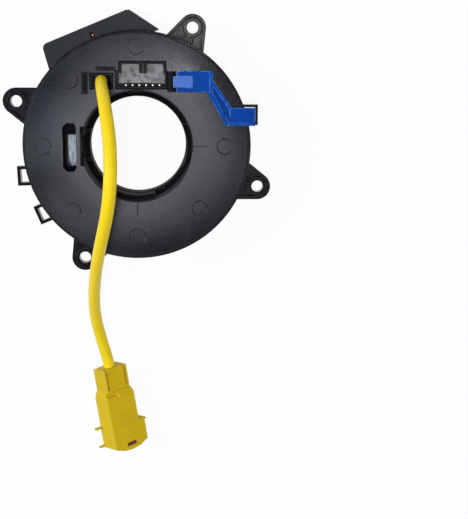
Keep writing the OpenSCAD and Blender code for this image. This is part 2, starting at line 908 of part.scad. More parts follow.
module lead_holder() {
    low = [lead_x[0] + insert_gap, bay_low + insert_gap];
    high = [lead_x[1] - insert_gap, lead_top_y - insert_gap];
    color("#1d1e21")
        on_rotor()
            difference() {
                union() {
                    difference() {
                        block([low[0], low[1], term_z], [high[0], high[1], face_z + edge]);
                        block([low[0] + gland_wall, low[1] + gland_wall, term_z + term_t],
                              [high[0] - gland_wall, high[1] - gland_wall, face_z + holder_rise]);
                    }
                    block([low[0], lead_at[1] - gland_wall, term_z],
                          [high[0], lead_at[1] + gland_wall, gland_z]);
                }
                block([lead_x[1] - 2 * gland_wall, lead_at[1] - gland_notch / 2, face_z - gland_notch / 2],
                      [lead_x[1] + gland_wall, lead_at[1] + gland_notch / 2, face_z + gland_notch]);
            }
}

// Route of the lead in the rotor's frame: up out of its holder, over the bore, down to the plug
lead_route = [
    [-15.8, 30.1, 19.4], [-15.8, 30.1, 26], [-15.5, 29.8, 32.5], [-14.9, 27.6, 39.5], [-13.8, 23.8, 46],
    [-12.6, 18.6, 52], [-11.4, 12, 57.6], [-10.4, 4.6, 62], [-10, -3, 64.8], [-10.1, -10.6, 65.8],
    [-10.7, -18.2, 64.8], [-12, -26.4, 61.6], [-14, -35, 56.2], [-16.3, -44.2, 49], [-18.5, -54, 40.2],
    [-20.2, -63.8, 31], [-21.2, -74, 21.8], [-21.1, -84, 13.8], [-19.7, -93.6, 7.9], [-17.8, -102, 4.9],
    [-16.6, -107, 3.8], [-15.7, -111.1, 3.5]
];
function route_way(p, i) = unit(p[min(i + 1, len(p) - 1)] - p[max(i - 1, 0)]);
function sweep_points(p, r) = [
    for (i = [0 : len(p) - 1])
        let (w = route_way(p, i), u = unit(cross(w, [1, 0, 0])), v = cross(w, u))
            for (k = [0 : sweep_sides - 1])
                p[i] + r * (cos(k * full_turn / sweep_sides) * u + sin(k * full_turn / sweep_sides) * v)
];
function sweep_faces(n) = concat(
    [[for (k = [0 : sweep_sides - 1]) k]],
    [for (i = [0 : n - 2])
        for (k = [0 : sweep_sides - 1])
            let (a = i * sweep_sides + k, b = i * sweep_sides + (k + 1) % sweep_sides)
                [a, a + sweep_sides, b + sweep_sides, b]],
    [[for (k = [sweep_sides - 1 : -1 : 0]) (n - 1) * sweep_sides + k]]
);

module airbag_lead() {
    color("#f2d21a")
        on_rotor()
            polyhedron(points = sweep_points(lead_route, lead_d / 2), faces = sweep_faces(len(lead_route)));
}

// Plug, drawn along +X from its rear face, width along Y, thickness along Z
plug_at = lead_route[len(lead_route) - 1];
plug_yaw = -81;
cap_l = 11.6;
cap_w = 13.2;
cap_t = 9.6;
cap_slot = 1.2;
cap_slot_in = 1.3;
cap_deep = 1.4;
body_l = 17.8;
head_flare = 3.3;
head_step = 0.4;
head_bow = 2.6;
shoulder = 3;
nib_l = 2.6;
nib_w = 0.7;
notch_l = 2.2;
notch_in = 4.6;
head_w = plug_w + head_flare;
head_t = plug_t + head_step;
head_y = plug_w / 2;

module on_plug() {
    on_rotor() translate(plug_at) rotate([0, 0, plug_yaw]) rotate([plug_roll, 0, 0]) children();
}

module plug_rear_cap() {
    color("#f2d21a")
        on_plug()
            difference() {
                block([0, -cap_w / 2, -cap_t / 2], [cap_l, cap_w / 2, cap_t / 2]);
                for (side = [-1, 1], face = [-1, 1])
                    translate([0, side * (cap_w / 2 - cap_slot_in), face * cap_t / 2])
                        block([-cut, -cap_slot / 2, -cap_deep], [cap_l - cap_slot, cap_slot / 2, cap_deep]);
            }
}

module plug_plan() {
    polygon([
        [cap_l, -cap_w / 2],
        [cap_l + shoulder, -plug_w / 2],
        [cap_l + body_l, -plug_w / 2],
        [cap_l + body_l, plug_w / 2],
        [cap_l + shoulder, plug_w / 2],
        [cap_l, cap_w / 2]
    ]);
}

module head_plan() {
    polygon([
        [cap_l + body_l, -head_y],
        [plug_l - head_bow, -head_y],
        [plug_l - head_bow / 4, -head_y + head_w / 4],
        [plug_l, -head_y + head_w / 2],
        [plug_l - head_bow / 4, -head_y + 3 * head_w / 4],
        [plug_l - head_bow, -head_y + head_w],
        [cap_l + body_l, -head_y + head_w]
    ]);
}

// Flanges at the low edge of the head's left side, from the body to the nose
prong_l = [3.7, 3];
prong_t = 0.9;
prong_h = 1.6;
prong_at = [cap_l + body_l + prong_t, plug_l - head_bow - prong_t];

module prongs() {
    for (i = [0, 1])
        translate([prong_at[i], -head_y, -head_t / 2])
            block([-prong_t / 2, -prong_l[i], 0], [prong_t / 2, edge, prong_h]);
    translate([prong_at[0], -head_y + head_w, head_t / 2])
        block([-prong_t / 2, -edge, -prong_h], [prong_t / 2, prong_t, 0]);
}

// Pad with two holes and a row of windows on the plug's underside
pad_l = 4.6;
pad_w = 8;
pad_h = 0.6;
pad_hole_r = 0.7;
pad_pitch = 4.4;
window_side = 1.9;
window_pitch = 2.8;
window_deep = 1;
lock_slot = [2, 5.6];
lock_in = 2.2;
lock_deep = 2;
lock_y = 1.7;
contact_w = 2.4;
contact_gap = 5;

module plug_body() {
    pad_x = cap_l + shoulder + pad_l / 2;
    window_x = pad_x + pad_l + window_side;
    color("#f2d21a")
        on_plug()
            difference() {
                union() {
                    translate([0, 0, -plug_t / 2]) linear_extrude(plug_t) plug_plan();
                    translate([0, 0, -head_t / 2]) linear_extrude(head_t) head_plan();
                    translate([cap_l + nib_l, 0, plug_t / 2])
                        block([-nib_l / 2, -nib_l / 2, -edge], [nib_l / 2, nib_l / 2, nib_w]);
                    translate([pad_x, 0, -plug_t / 2])
                        block([-pad_l / 2, -pad_w / 2, -pad_h], [pad_l / 2, pad_w / 2, edge]);
                    prongs();
                }
                // Notch in the top edge beside the cap
                block([cap_l - cut, -plug_w / 2, plug_t / 2 - notch_l],
                      [cap_l + notch_l, -cap_w / 2 + notch_in, plug_t / 2 + cut]);
                for (side = [-1, 1])
                    translate([pad_x, side * pad_pitch / 2, -plug_t / 2 - pad_h - cut])
                        cylinder(r = pad_hole_r, h = pad_h + cut + edge);
                for (i = [-1, 0, 1])
                    translate([window_x, i * window_pitch, -plug_t / 2])
                        block([-window_side / 2, -window_side / 2, -cut],
                              [window_side / 2, window_side / 2, window_deep]);
                translate([plug_l - lock_in - lock_slot[0], lock_y - lock_slot[1] / 2, head_t / 2 - lock_deep])
                    cube([lock_slot[0], lock_slot[1], lock_deep + cut]);
                for (side = [-1, 1])
                    block([cap_l + cap_slot, side * contact_gap / 2 - contact_w / 2, -contact_w / 2],
                          [plug_l + cut, side * contact_gap / 2 + contact_w / 2, contact_w / 2]);
            }
}

module plug_lock() {
    color("#7a2b18")
        on_plug()
            translate([plug_l - lock_in - lock_slot[0], lock_y - lock_slot[1] / 2, head_t / 2 - lock_deep])
                translate([seat, seat, 0])
                    cube([lock_slot[0] - 2 * seat, lock_slot[1] - 2 * seat, lock_deep - edge]);
}

contact_l = 12;
contact_back = 2;
spring_l = 4;
spring_t = 0.25;

module plug_contacts() {
    start = cap_l + cap_slot;
    color("#c9a24a")
        on_plug()
            for (side = [-1, 1])
                difference() {
                    block([start, side * contact_gap / 2 - contact_w / 2, -contact_w / 2],
                          [start + contact_l, side * contact_gap / 2 + contact_w / 2, contact_w / 2]);
                    block([start + contact_back, side * contact_gap / 2 - contact_w / 4, -contact_w / 4],
                          [start + contact_l + cut, side * contact_gap / 2 + contact_w / 4, contact_w / 4]);
                }
}

module shorting_spring() {
    start = cap_l + cap_slot + contact_l;
    color("#b9bcc2")
        on_plug()
            for (side = [-1, 1])
                translate([start, side * contact_gap / 2, -contact_w / 2])
                    block([0, -contact_w / 2 + seat, 0], [spring_l, contact_w / 2 - seat, spring_t]);
}

// Lock clip: a block beside the socket, a slanting arm and an end over the catch on the case
clip_step = 2.1;
clip_w = 16.2;
clip_y = [25.1, 34.6];
clip_knee_x = 32.4;
clip_knee_y = 31;
clip_arm_low = [41, 9.8];
clip_arm_high = [43.8, 18];
clip_over = 1.5;
pad_step = 0.3;
pad_end_x = 25.6;
pad_y = [27.2, 32.2];
pad_rise = 0.5;
clip_ridge = 1.4;
ridge_rise = 1;
clip_rim = 1.1;
arm_h = 4;
arm_low_h = 3;
arm_wall = 2;
end_h = 3.6;
end_floor = 2.8;
end_wall = 1;
clip_tip_l = 1.3;
clip_z = face_z + clip_gap;
clip_x = [retainer_x[1] + clip_step, retainer_x[1] + clip_step + clip_w];
clip_end_x = case_r + clip_over;

module clip_plan() {
    polygon([
        [clip_x[0], clip_y[0]],
        [clip_knee_x, clip_y[0]],
        clip_arm_low,
        [clip_end_x, clip_arm_low[1]],
        [clip_end_x, clip_arm_high[1]],
        clip_arm_high,
        [clip_x[1], clip_knee_y],
        [clip_x[1], clip_y[1]],
        [clip_x[0], clip_y[1]]
    ]);
}

module clip_wall(from, to, w, h) {
    way = unit(to - from);
    side = w * [-way[1], way[0]];
    translate([0, 0, clip_z]) linear_extrude(h) polygon([from, to, to + side, from + side]);
}

module lock_clip() {
    color("#2257c4")
        on_rotor() {
            translate([0, 0, clip_z]) linear_extrude(clip_t) clip_plan();
            block([clip_x[0], clip_y[0], clip_z], [clip_x[1], clip_y[1], clip_z + clip_h]);
            block([clip_x[1] - clip_ridge, clip_y[0], clip_z],
                  [clip_x[1], clip_y[1], clip_z + clip_h + ridge_rise]);
            block([retainer_x[1] + pad_step, pad_y[0], clip_z],
                  [pad_end_x, pad_y[1], clip_z + clip_h + pad_rise]);
            clip_wall([clip_knee_x, clip_y[0]], clip_arm_low, arm_wall, arm_h);
            clip_wall(clip_arm_high, [clip_x[1], clip_knee_y], clip_ridge, arm_low_h);
            clip_wall(clip_arm_low, [clip_end_x, clip_arm_low[1]], clip_rim, end_h);
            block([clip_arm_high[0] - end_wall, clip_arm_low[1] + clip_rim / 2, clip_z],
                  [clip_end_x, clip_arm_high[1], clip_z + end_floor]);
            block([clip_end_x - clip_tip_l, clip_arm_low[1] + clip_rim, case_top + clip_gap],
                  [clip_end_x, clip_arm_high[1] - clip_rim, clip_z + clip_t]);
            block([peg_x[0], peg_y[0], face_z - peg_l], [peg_x[1], peg_y[1], clip_z + clip_t]);
        }
}

case();
rear_cover();
block_cover();
main_socket_pins();
small_socket_pins();
case_terminal_block();
rear_slip_sheet();
front_slip_sheet();
ribbon_cable();
rotor();
ribbon_guide();
rear_ring();
rotor_terminal_block();
rotor_socket();
rotor_pins();
lead_holder();
airbag_lead();
plug_body();
plug_rear_cap();
plug_lock();
plug_contacts();
shorting_spring();
lock_clip();
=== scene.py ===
import math

import bmesh
import bpy
from mathutils import Matrix, Vector


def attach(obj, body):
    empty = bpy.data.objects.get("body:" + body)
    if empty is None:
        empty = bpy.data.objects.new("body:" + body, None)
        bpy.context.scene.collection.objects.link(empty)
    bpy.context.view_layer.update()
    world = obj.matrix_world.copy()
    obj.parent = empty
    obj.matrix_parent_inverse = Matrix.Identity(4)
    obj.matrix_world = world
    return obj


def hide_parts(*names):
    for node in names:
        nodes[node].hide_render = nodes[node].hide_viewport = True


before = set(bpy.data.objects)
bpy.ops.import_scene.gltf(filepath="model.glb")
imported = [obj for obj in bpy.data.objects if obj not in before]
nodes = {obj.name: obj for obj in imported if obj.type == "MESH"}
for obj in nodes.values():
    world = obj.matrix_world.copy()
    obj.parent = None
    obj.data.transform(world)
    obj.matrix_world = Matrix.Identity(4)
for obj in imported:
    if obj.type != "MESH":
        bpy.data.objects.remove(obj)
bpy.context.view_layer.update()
mm = 0.001
rotorAngle = math.radians(22.5)  # the rotor stands turned back by this much against the case
rotorTurn = Matrix.Rotation(-rotorAngle, 4, "Z")  # from the rotor's own frame to the shared one
markStep = math.pi / 4  # eight round marks on the front, and eight on the back


def addObject(name, data):
    made = bpy.data.objects.new(name, data)
    bpy.context.scene.collection.objects.link(made)
    return made


# Camera, set in the rotor's frame: it looks down on the face from a little above and to the right
camera = {
    "place": (18.2, 37.4, 524.0),  # mm
    "focal": 1072.6,  # pixels
    "below": (175.979, 64.733),  # pixel that lies straight below the camera
    "picture": (468, 519),  # pixels
    "sensor": 36,  # mm
    "near": 10.0,  # mm
}


def makeCamera(setup):
    width, height = setup["picture"]
    across = (setup["below"][0] - width / 2) / setup["focal"]
    up = (height / 2 - setup["below"][1]) / setup["focal"]
    turn = Vector((across, up, -1)).rotation_difference(Vector((0, 0, -1))).to_matrix().to_4x4()
    data = bpy.data.cameras.new("camera")
    data.sensor_width = setup["sensor"]
    data.lens = setup["focal"] * data.sensor_width / height
    data.clip_start = setup["near"] * mm
    made = addObject("camera", data)
    made.matrix_world = rotorTurn @ Matrix.Translation(Vector(setup["place"]) * mm) @ turn
    bpy.context.scene.camera = made


makeCamera(camera)
print("camera made")


# Airbag lead: the route is the one in the part's source, in mm and in the rotor's frame
lead = {
    "diameter": 5.6,
    "route": [
        (-15.8, 30.1, 19.4), (-15.8, 30.1, 26), (-15.5, 29.8, 32.5), (-14.9, 27.6, 39.5),
        (-13.8, 23.8, 46), (-12.6, 18.6, 52), (-11.4, 12, 57.6), (-10.4, 4.6, 62), (-10, -3, 64.8),
        (-10.1, -10.6, 65.8), (-10.7, -18.2, 64.8), (-12, -26.4, 61.6), (-14, -35, 56.2),
        (-16.3, -44.2, 49), (-18.5, -54, 40.2), (-20.2, -63.8, 31), (-21.2, -74, 21.8),
        (-21.1, -84, 13.8), (-19.7, -93.6, 7.9), (-17.8, -102, 4.9), (-16.6, -107, 3.8),
        (-15.7, -111.1, 3.5),
    ],
    # share of the diameter at each point of the route, 1 at the points that follow
    "swell": [0.9, 0.9, 0.93, 0.97, 1.0, 1.02, 1.04, 1.05, 1.05, 1.05, 1.05, 1.04, 1.03, 1.02],
    "roundness": 8,
    "steps": 8,  # between two points of the route
    "join": 0.01,  # mm, points closer than this are one
    "sideCorners": 4,  # faces with more corners are the flat ends
}


def makeLead(setup):
    route = [rotorTurn @ (Vector(p) * mm) for p in setup["route"]]
    swell = setup["swell"] + [1.0] * (len(route) - len(setup["swell"]))
    curve = bpy.data.curves.new("leadLine", "CURVE")
    curve.dimensions = "3D"
    curve.bevel_depth = setup["diameter"] / 2 * mm
    curve.bevel_resolution = setup["roundness"]
    curve.resolution_u = setup["steps"]
    curve.use_fill_caps = True
    line = curve.splines.new("BEZIER")
    line.bezier_points.add(len(route) - 1)
    for point, place, share in zip(line.bezier_points, route, swell):
        point.co = place
        point.handle_left_type = point.handle_right_type = "AUTO"
        point.radius = share
    drawn = addObject("leadLine", curve)
    bpy.context.view_layer.update()
    shown = drawn.evaluated_get(bpy.context.evaluated_depsgraph_get())
    mesh = bpy.data.meshes.new_from_object(shown)
    mesh.name = "airbagLeadSleeve"
    bpy.data.objects.remove(drawn)
    bpy.data.curves.remove(curve)
    form = bmesh.new()
    form.from_mesh(mesh)
    bmesh.ops.remove_doubles(form, verts=form.verts, dist=setup["join"] * mm)
    bmesh.ops.recalc_face_normals(form, faces=form.faces)
    for face in form.faces:
        face.smooth = len(face.verts) <= setup["sideCorners"]
    form.to_mesh(mesh)
    form.free()
    length = sum((b - a).length for a, b in zip(route, route[1:]))
    return addObject("airbagLeadSleeve", mesh), route, length


leadSleeve, leadPath, leadLength = makeLead(lead)
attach(leadSleeve, "rotor_body")
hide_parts("airbag_lead")
print("lead made, %.1f mm long" % (leadLength / mm))


# Helpers for node trees
def feed(tree, socket, value):
    # An output of another node is linked, anything else is set as the value
    if isinstance(value, bpy.types.NodeSocket):
        tree.links.new(value, socket)
    else:
        socket.default_value = value


def addNode(tree, kind, values=None, **settings):
    made = tree.nodes.new(kind)
    for key, value in settings.items():
        setattr(made, key, value)
    for key, value in (values or {}).items():
        feed(tree, made.inputs[key], value)
    return made


def mathNode(tree, operation, first, second=None, clamp=False):
    values = {0: first} if second is None else {0: first, 1: second}
    return addNode(tree, "ShaderNodeMath", values, operation=operation, use_clamp=clamp).outputs[0]


def multiply(tree, first, second):
    return mathNode(tree, "MULTIPLY", first, second)


def vectorNode(tree, operation, first, second=None):
    values = {0: first} if second is None else {0: first, 1: second}
    return addNode(tree, "ShaderNodeVectorMath", values, operation=operation).outputs


def splitVector(tree, vector):
    return addNode(tree, "ShaderNodeSeparateXYZ", {0: vector}).outputs


def spread(tree, value, low, high, toLow=0.0, toHigh=1.0):
    limits = {"Value": value, "From Min": low, "From Max": high, "To Min": toLow, "To Max": toHigh}
    return addNode(tree, "ShaderNodeMapRange", limits, clamp=True).outputs[0]


def blendColour(tree, share, first, second):
    made = addNode(tree, "ShaderNodeMix", {0: share}, data_type="RGBA")
    for key, value in (("A", first), ("B", second)):
        socket = next(s for s in made.inputs if s.name == key and s.type == "RGBA")
        feed(tree, socket, (*value, 1) if isinstance(value, tuple) else value)
    return next(s for s in made.outputs if s.type == "RGBA")


def addNoise(tree, vector, noise, size=None):
    # The size, where one is given, is an output that multiplies the noise's scale
    scale = noise["scale"] if size is None else multiply(tree, size, noise["scale"])
    values = {"Vector": vector, "Scale": scale, "Detail": noise["detail"], "Roughness": noise["rough"]}
    return addNode(tree, "ShaderNodeTexNoise", values).outputs["Fac"]


def noiseMask(tree, vector, noise):
    return spread(tree, addNoise(tree, vector, noise), noise["low"], noise["high"])


def toRotor(tree, vector):
    # Coordinates in the rotor's own frame
    values = {"Vector": vector, "Rotation": (0, 0, rotorAngle)}
    return addNode(tree, "ShaderNodeMapping", values, vector_type="POINT").outputs[0]


def newGroup(name, inputs, outputs):
    group = bpy.data.node_groups.new(name, "ShaderNodeTree")
    for direction, sockets in (("INPUT", inputs), ("OUTPUT", outputs)):
        for title, kind in sockets.items():
            group.interface.new_socket(title, in_out=direction, socket_type="NodeSocket" + kind)
    start = group.nodes.new("NodeGroupInput")
    end = group.nodes.new("NodeGroupOutput")
    return group, start.outputs, end.inputs


# Shader groups that more than one material uses
grainLook = {
    "fine": {"scale": 2600.0, "detail": 3.0, "rough": 0.55},
    "slow": {"scale": 45.0, "detail": 4.0, "rough": 0.6},
    "tone": (0.3, 0.7),
}
edgeLook = {
    "samples": 6,
    "turn": (0.995, 0.86),  # cosine between the rounded and the flat normal
    "noise": {"scale": 420.0, "detail": 4.0, "rough": 0.5},
    "breakUp": (0.35, 0.62),
}
dustLook = {
    "cells": 620.0,
    "speck": (0.16, 0.08),
    "noise": {"scale": 70.0, "detail": 5.0, "rough": 0.5},
    "patch": (0.52, 0.66),
    "facing": (0.2, 0.9),
    "film": 0.12,
    "colour": (0.42, 0.4, 0.37),
    "rough": 0.4,
}
ringLine = (0.44, 0.2)  # mm from the circle's middle line, clear and full


def makeGrain(setup):
    # Fine moulded grain as a height, and slow waves as a tone
    group, given, result = newGroup(
        "mouldedGrain", {"Vector": "Vector", "Scale": "Float"}, {"Height": "Float", "Tone": "Float"})
    fine = addNoise(group, given["Vector"], setup["fine"], given["Scale"])
    slow = addNoise(group, given["Vector"], setup["slow"], given["Scale"])
    feed(group, result["Height"], fine)
    feed(group, result["Tone"], spread(group, slow, *setup["tone"]))
    return group


def makeEdge(setup):
    # Rounded edge normal, and a mask along the convex edges, broken up by noise, that handling polishes
    # and that also carries painted edge highlights
    group, given, result = newGroup(
        "mouldedEdge", {"Radius": "Float", "Vector": "Vector"}, {"Normal": "Vector", "Edge": "Float"})
    rounded = addNode(group, "ShaderNodeBevel", {"Radius": given["Radius"]}, samples=setup["samples"])
    flat = addNode(group, "ShaderNodeNewGeometry").outputs["Normal"]
    cosine = vectorNode(group, "DOT_PRODUCT", rounded.outputs["Normal"], flat)["Value"]
    turned = spread(group, cosine, *setup["turn"])
    brokenUp = spread(group, addNoise(group, given["Vector"], setup["noise"]), *setup["breakUp"])
    feed(group, result["Normal"], rounded.outputs["Normal"])
    feed(group, result["Edge"], multiply(group, turned, brokenUp))
    return group


def makeDust(setup):
    # Small pale specks, and a thin film on what faces up
    group, given, result = newGroup(
        "settledDust", {"Vector": "Vector", "Amount": "Float"}, {"Mask": "Float"})
    cells = addNode(group, "ShaderNodeTexVoronoi", {"Vector": given["Vector"], "Scale": setup["cells"]})
    speck = spread(group, cells.outputs["Distance"], *setup["speck"])
    patch = spread(group, addNoise(group, given["Vector"], setup["noise"]), *setup["patch"])
    normal = addNode(group, "ShaderNodeNewGeometry").outputs["Normal"]
    up = spread(group, splitVector(group, normal)["Z"], *setup["facing"])
    film = multiply(group, patch, setup["film"])
    both = mathNode(group, "ADD", multiply(group, speck, patch), film, clamp=True)
    feed(group, result["Mask"], multiply(group, both, multiply(group, up, given["Amount"])))
    return group


def makeZone():
    # Mask of one box in the rotor's own frame
    group, given, result = newGroup(
        "rotorZone", {"Vector": "Vector", "Middle": "Vector", "Half": "Vector"}, {"Mask": "Float"})
    away = vectorNode(group, "SUBTRACT", toRotor(group, given["Vector"]), given["Middle"])[0]
    parts = splitVector(group, vectorNode(group, "ABSOLUTE", away)[0])
    limits = splitVector(group, given["Half"])
    inside = [mathNode(group, "LESS_THAN", parts[axis], limits[axis]) for axis in "XYZ"]
    feed(group, result["Mask"], multiply(group, inside[0], multiply(group, inside[1], inside[2])))
    return group


def makeRing(line):
    # Masks of one thin circle and of what it encloses, in the rotor's own frame
    group, given, result = newGroup(
        "faceRing", {"Vector": "Vector", "Middle": "Vector", "Radius": "Float"},
        {"Mask": "Float", "Inside": "Float"})
    away = vectorNode(group, "DISTANCE", toRotor(group, given["Vector"]), given["Middle"])["Value"]
    off = mathNode(group, "ABSOLUTE", mathNode(group, "SUBTRACT", away, given["Radius"]))
    feed(group, result["Mask"], spread(group, off, line[0] * mm, line[1] * mm))
    feed(group, result["Inside"], mathNode(group, "LESS_THAN", away, given["Radius"]))
    return group


grainGroup = makeGrain(grainLook)
edgeGroup = makeEdge(edgeLook)
dustGroup = makeDust(dustLook)
zoneGroup = makeZone()
ringGroup = makeRing(ringLine)


def placeGroup(tree, group, values):
    return addNode(tree, "ShaderNodeGroup", values, node_tree=group).outputs


# Masks of what lies over a plastic's own tone, with lengths in mm
def placeRing(tree, place, ring, angle, radius, height):
    middle = (ring * math.cos(angle) * mm, ring * math.sin(angle) * mm, height * mm)
    return placeGroup(tree, ringGroup, {"Vector": place, "Radius": radius * mm, "Middle": middle})


def zoneMask(tree, place, zone):
    sides = list(zip(zone["low"], zone["high"]))
    middle = [(low + high) / 2 * mm for low, high in sides]
    half = [(high - low) / 2 * mm for low, high in sides]
    mask = placeGroup(tree, zoneGroup, {"Vector": place, "Middle": middle, "Half": half})["Mask"]
    if "speckle" in zone:
        speckle = zone["speckle"]
        noise = addNoise(tree, place, speckle)
        share = spread(tree, noise, speckle["low"], speckle["high"], 1 - speckle["share"])
        mask = multiply(tree, mask, share)
    return mask


def boreRadius(tree, place):
    parts = splitVector(tree, place)
    squares = [multiply(tree, parts[axis], parts[axis]) for axis in "XY"]
    return mathNode(tree, "SQRT", mathNode(tree, "ADD", *squares))


# Painted shade: a black band round the disc's outer edge
def rimMask(tree, place, rim):
    return spread(tree, boreRadius(tree, place), rim["start"] * mm, rim["full"] * mm)


# Painted shade in a narrow ring gap
def grooveMask(tree, place, groove):
    radius = boreRadius(tree, place)
    low, high, soft = groove["low"] * mm, groove["high"] * mm, groove["soft"] * mm
    return multiply(tree, spread(tree, radius, low, low + soft), spread(tree, radius, high, high - soft))


def streakMask(tree, place, streaks):
    # Long thin marks that run along the rotor's own Y
    stretched = vectorNode(tree, "MULTIPLY", toRotor(tree, place), streaks["stretch"])[0]
    return noiseMask(tree, stretched, streaks)


def markMask(tree, place, marks):
    # Thin circles on the disc, each a step off one common ring; their dark line is painted shade in the
    # edges of the round marks
    lines = None
    for i, step in enumerate(marks["steps"]):
        ring = marks["ring"] + step
        circle = placeRing(tree, place, ring, i * markStep, marks["radius"], marks["height"])["Mask"]
        lines = circle if lines is None else mathNode(tree, "MAXIMUM", lines, circle)
    return multiply(tree, lines, marks["share"])


def dialLayers(tree, place, dials):
    # Round ejector marks on the back, each with its own tint, where the lighter tints are painted sheen
    # of the shiny marks; they lie in the case's frame
    layers = []
    for i, colour in enumerate(dials["tintsAndSheens"]):
        angle = i * markStep + rotorAngle
        dial = placeRing(tree, place, dials["ring"], angle, dials["radius"], dials["height"])
        layers.append((dial["Inside"], {"colour": colour}))
    return layers


maskMakers = {
    "fleck": noiseMask, "zones": zoneMask, "rim": rimMask, "groove": grooveMask,
    "streaks": streakMask, "marks": markMask,
}


def plasticLayers(tree, place, look):
    # Each mask with the colour that it lays down, in their order
    layers = []
    for key, maker in maskMakers.items():
        found = look.get(key, [])
        for layer in found if isinstance(found, list) else [found]:
            layers.append((maker(tree, place, layer), layer))
    if "dials" in look:
        layers += dialLayers(tree, place, look["dials"])
    return layers


def ringWave(tree, place, rings):
    # Slow wave round the bore axis, as a large flat moulding has after it cools, and its one crease
    radius = boreRadius(tree, place)
    out = mathNode(tree, "SUBTRACT", radius, rings["start"] * mm)
    turns = multiply(tree, out, 2 * math.pi / (rings["length"] * mm))
    off = mathNode(tree, "ABSOLUTE", mathNode(tree, "SUBTRACT", radius, rings["crease"] * mm))
    near = spread(tree, off, 0, rings["soft"] * mm, 1.0, 0.0)
    return mathNode(tree, "COSINE", turns), multiply(tree, near, near)


# Materials
def startMaterial(name):
    made = bpy.data.materials.new(name)
    made.use_nodes = True
    tree = made.node_tree
    return made, tree, tree.nodes["Principled BSDF"].inputs


def objectPlace(tree):
    return addNode(tree, "ShaderNodeTexCoord").outputs["Object"]


def addBump(tree, height, normal, strength, depth, invert=False):
    values = {"Strength": strength, "Distance": depth * mm, "Height": height, "Normal": normal}
    return addNode(tree, "ShaderNodeBump", values, invert=invert).outputs["Normal"]


def plasticNormal(tree, place, look, grain, edgeNormal):
    height = grain["Tone"]
    normal = edgeNormal
    if "rings" in look:
        rings = look["rings"]
        turned, near = ringWave(tree, place, rings)
        height = mathNode(tree, "ADD", height, multiply(tree, turned, rings["share"]))
        normal = addBump(tree, near, normal, 1.0, rings["depth"], invert=True)
    normal = addBump(tree, height, normal, 1.0, look["wave"])
    return addBump(tree, grain["Height"], normal, look["grain"], look["grainDepth"])


usualPlastic = {
    "wearAndSheen": 0.4, "shine": 0.5, "edgeRadius": 0.3, "grain": 0.15, "grainScale": 1.0, "grainDepth": 0.05,
    "wave": 0.03,
}


def makePlastic(name, ownLook):
    # Moulded plastic: slow tone, layers (some of them painted shade, painted highlight and painted
    # sheen), rubbed edges that also carry painted edge highlights, settled dust, grain in the gloss and
    # the height
    look = {**usualPlastic, **ownLook}
    made, tree, surface = startMaterial(name)
    place = objectPlace(tree)
    grain = placeGroup(tree, grainGroup, {"Vector": place, "Scale": look["grainScale"]})
    edge = placeGroup(tree, edgeGroup, {"Vector": place, "Radius": look["edgeRadius"] * mm})
    dust = placeGroup(tree, dustGroup, {"Vector": place, "Amount": look["dust"]})["Mask"]
    tone = blendColour(tree, grain["Tone"], look["dark"], look["light"])
    rough = spread(tree, grain["Tone"], 0, 1, *look["gloss"])
    for mask, layer in plasticLayers(tree, place, look):
        tone = blendColour(tree, mask, tone, layer["colour"])
        if "matt" in layer:
            rough = mathNode(tree, "MAXIMUM", rough, multiply(tree, mask, layer["matt"]))
    wornAndSheenEdge = blendColour(tree, multiply(tree, edge["Edge"], look["wearAndSheen"]), tone, look["wornAndSheenEdge"])
    feed(tree, surface["Base Color"], blendColour(tree, dust, wornAndSheenEdge, dustLook["colour"]))
    dusty = mathNode(tree, "ADD", rough, multiply(tree, dust, dustLook["rough"]), clamp=True)
    feed(tree, surface["Roughness"], dusty)
    feed(tree, surface["Specular IOR Level"], look["shine"])
    feed(tree, surface["Normal"], plasticNormal(tree, place, look, grain, edge["Normal"]))
    return made


def makeMetal(name, look):
    made, tree, surface = startMaterial(name)
    grain = placeGroup(tree, grainGroup, {"Vector": objectPlace(tree), "Scale": 1.0})
    feed(tree, surface["Base Color"], blendColour(tree, grain["Tone"], look["dark"], look["light"]))
    feed(tree, surface["Metallic"], 1.0)
    feed(tree, surface["Roughness"], spread(tree, grain["Tone"], 0, 1, *look["gloss"]))
    return made


# Painted shade, laid where shade falls in the bore, in slots and gaps, and in the edges of the round
# marks
shade = (0.002, 0.002, 0.003)
deepShade = (0.001, 0.001, 0.001)

